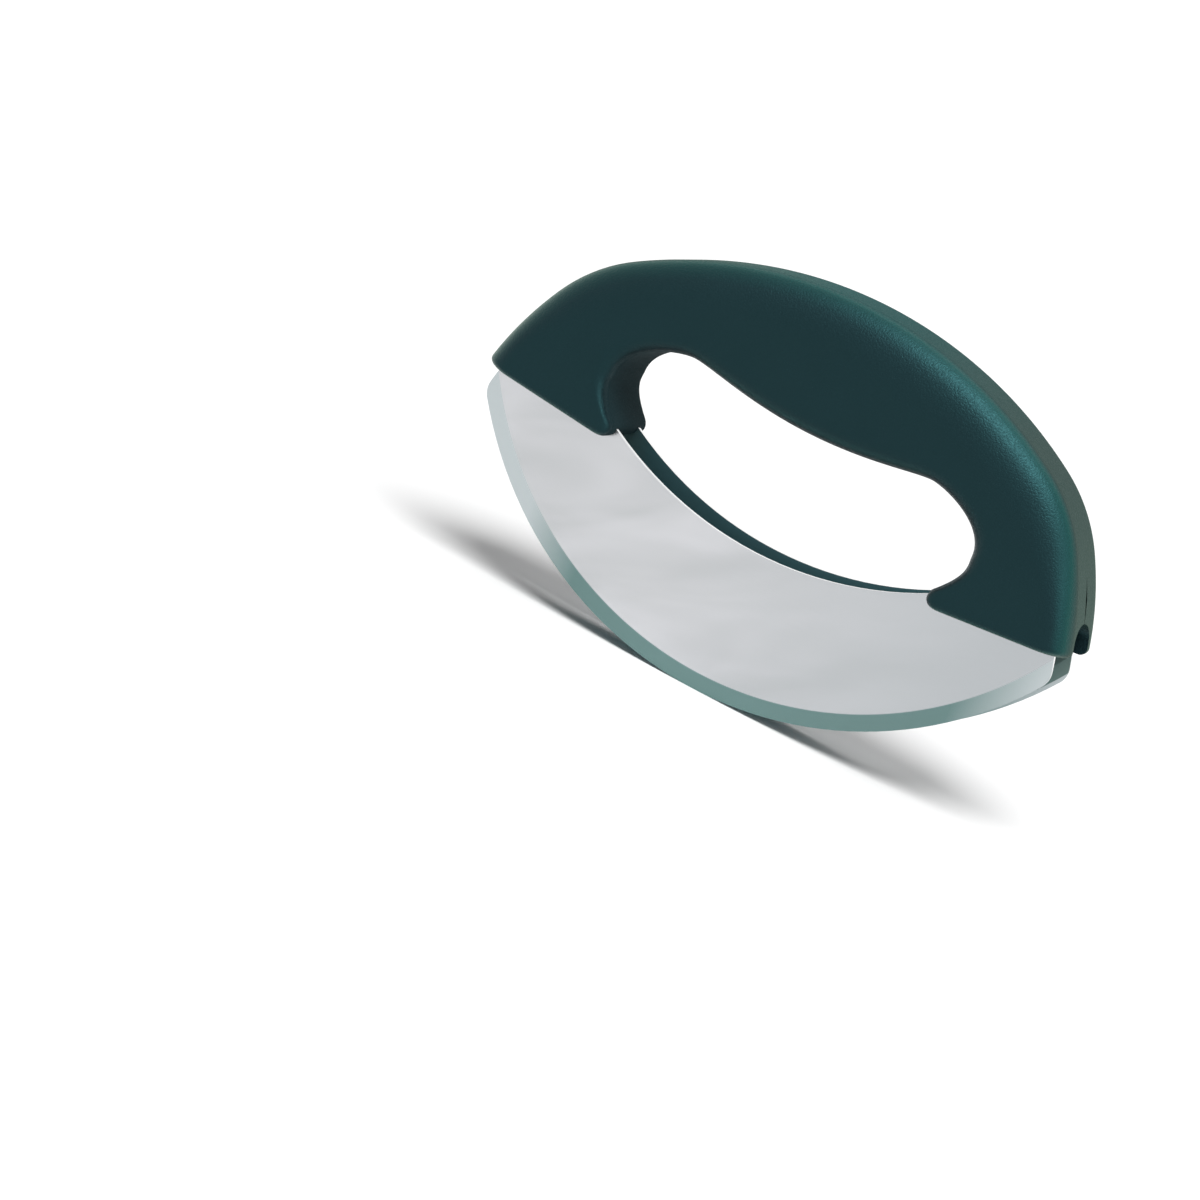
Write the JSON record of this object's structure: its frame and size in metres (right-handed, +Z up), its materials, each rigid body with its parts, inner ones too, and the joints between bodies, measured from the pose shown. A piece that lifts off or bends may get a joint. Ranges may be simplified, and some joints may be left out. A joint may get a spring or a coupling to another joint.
{
  "type": "double-bladed mezzaluna",
  "caption": "Rocking herb chopper with parallel crescent blades in one moulded arch handle with a finger opening.",
  "frame": {"origin": "bottom centre of the object's box: midway between the blades, level with the lowest point of the cutting edges", "axes": "+X along the blades to the right seen from the front, +Y away from the front, +Z up through the grip"},
  "size_m": [0.1834, 0.032, 0.116],
  "materials": {
    "blade_steel": "satin stainless steel with a ground bevel",
    "handle_plastic": "dark green moulded plastic with a fine grain",
    "spacer_plastic": "plain dark moulded plastic, hidden inside the handle",
    "pin_steel": "turned steel, hidden inside the handle"
  },
  "bodies": {
    "root": {"front_blade": "blade_steel", "rear_blade": "blade_steel", "front_handle_shell": "handle_plastic", "rear_handle_shell": "handle_plastic", "left_blade_spacer": "spacer_plastic", "right_blade_spacer": "spacer_plastic", "left_inner_pin": "pin_steel", "left_outer_pin": "pin_steel", "right_inner_pin": "pin_steel", "right_outer_pin": "pin_steel"}
  },
  "joints": []
}
